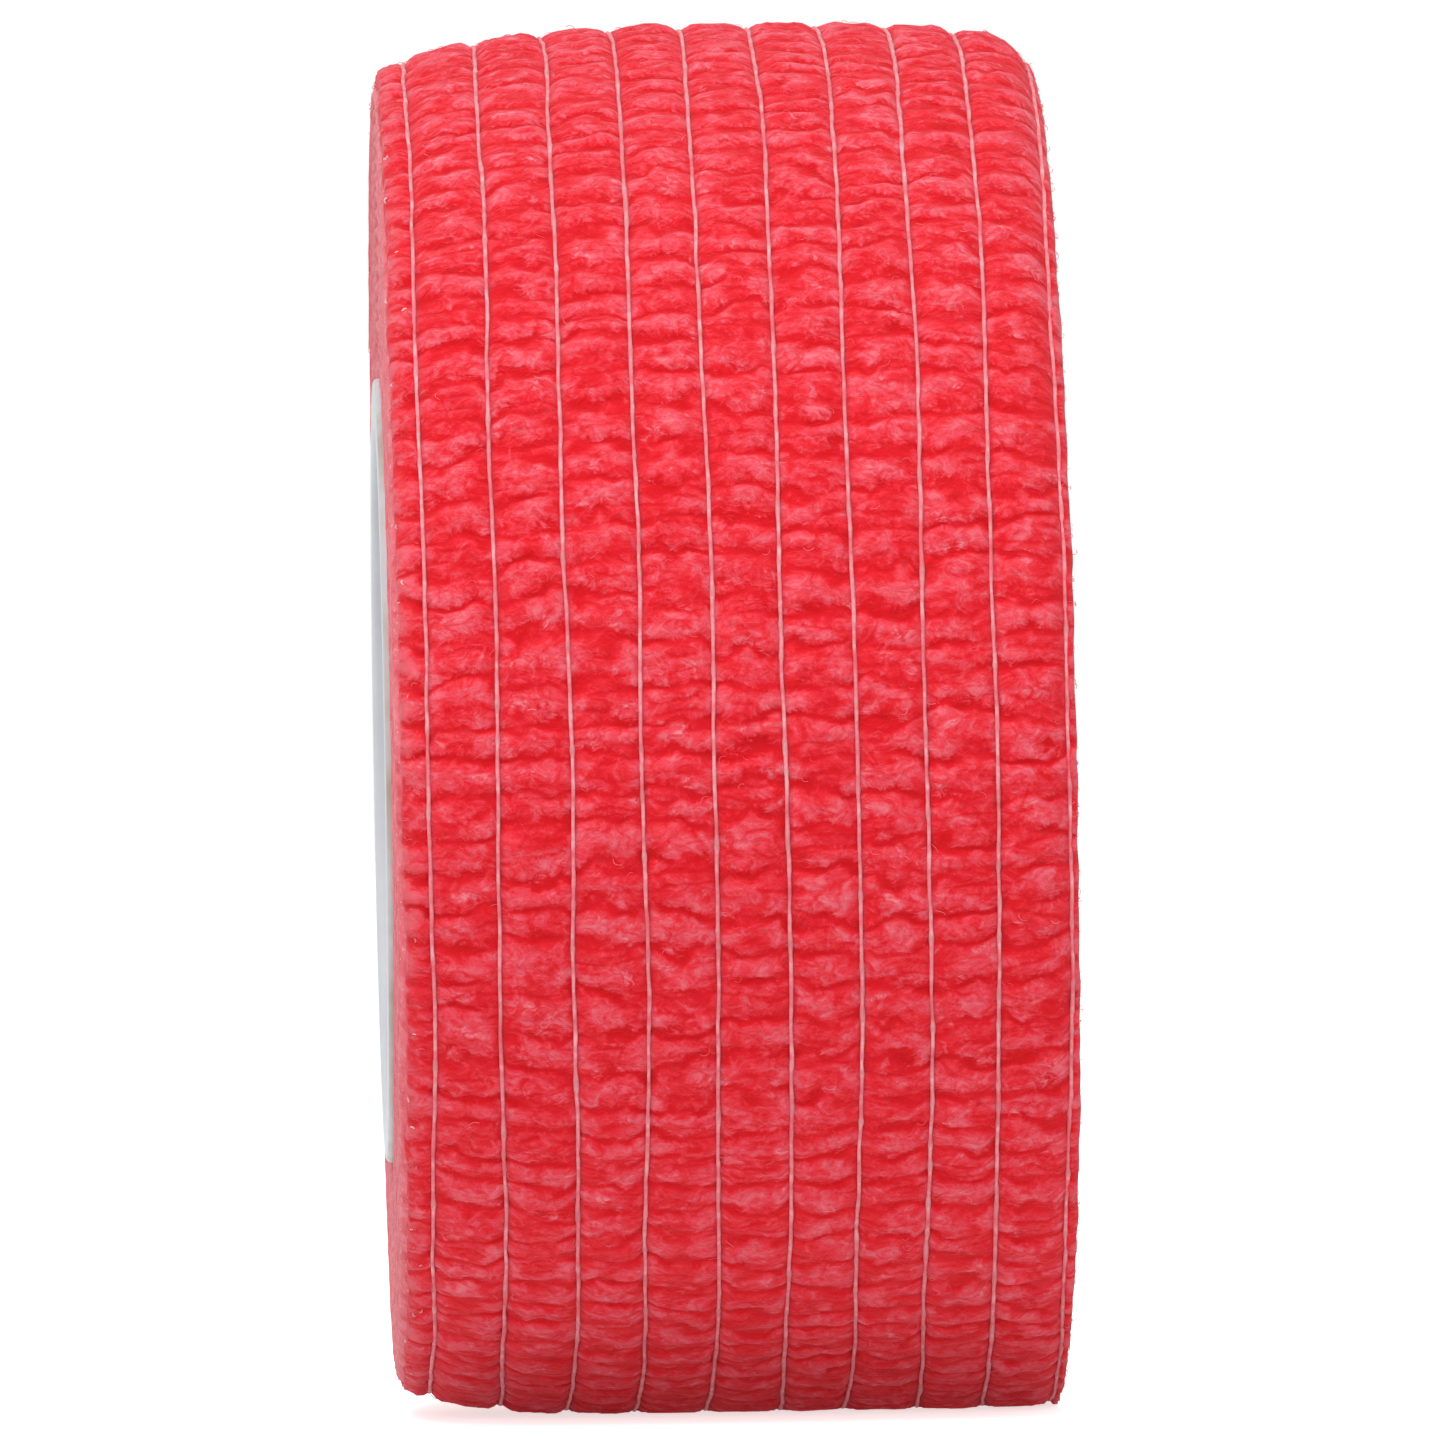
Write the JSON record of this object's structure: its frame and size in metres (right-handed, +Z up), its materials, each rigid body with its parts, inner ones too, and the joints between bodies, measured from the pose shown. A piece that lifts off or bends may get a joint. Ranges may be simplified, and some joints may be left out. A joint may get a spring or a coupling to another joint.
{
  "type": "tape roll",
  "caption": "Roll of red self-adherent elastic crepe tape with pale elastic threads, wound on a white core tube and standing on its rim, with a free end that peels.",
  "frame": {"origin": "centre of the flat that the roll stands on, on the floor under the middle of the roll", "axes": "+X along the roll's axis, +Y towards the back where the free end lies, +Z up"},
  "size_m": [0.0252, 0.0529, 0.0522],
  "materials": {
    "core_plastic": "satin",
    "wound_web": "matte",
    "crepe_web": "matte",
    "elastic": "satin"
  },
  "bodies": {
    "roll": {"core_tube": "core_plastic", "inner_turns": "wound_web", "outer_turn": "crepe_web", "elastic_thread_01": "elastic", "elastic_thread_02": "elastic", "elastic_thread_03": "elastic", "elastic_thread_04": "elastic", "elastic_thread_05": "elastic", "elastic_thread_06": "elastic", "elastic_thread_07": "elastic", "elastic_thread_08": "elastic", "elastic_thread_09": "elastic", "elastic_thread_10": "elastic"},
    "free_end": {"free_end": "crepe_web", "free_end_thread_01": "elastic", "free_end_thread_02": "elastic", "free_end_thread_03": "elastic", "free_end_thread_04": "elastic", "free_end_thread_05": "elastic", "free_end_thread_06": "elastic", "free_end_thread_07": "elastic", "free_end_thread_08": "elastic", "free_end_thread_09": "elastic", "free_end_thread_10": "elastic"}
  },
  "joints": [
    {"name": "free_end_peel", "type": "hinge", "parent": "roll", "child": "free_end", "pos_m": [0, 0.02097, 0.0422], "axis": [1, 0, 0], "range_deg": [0, 80]}
  ]
}
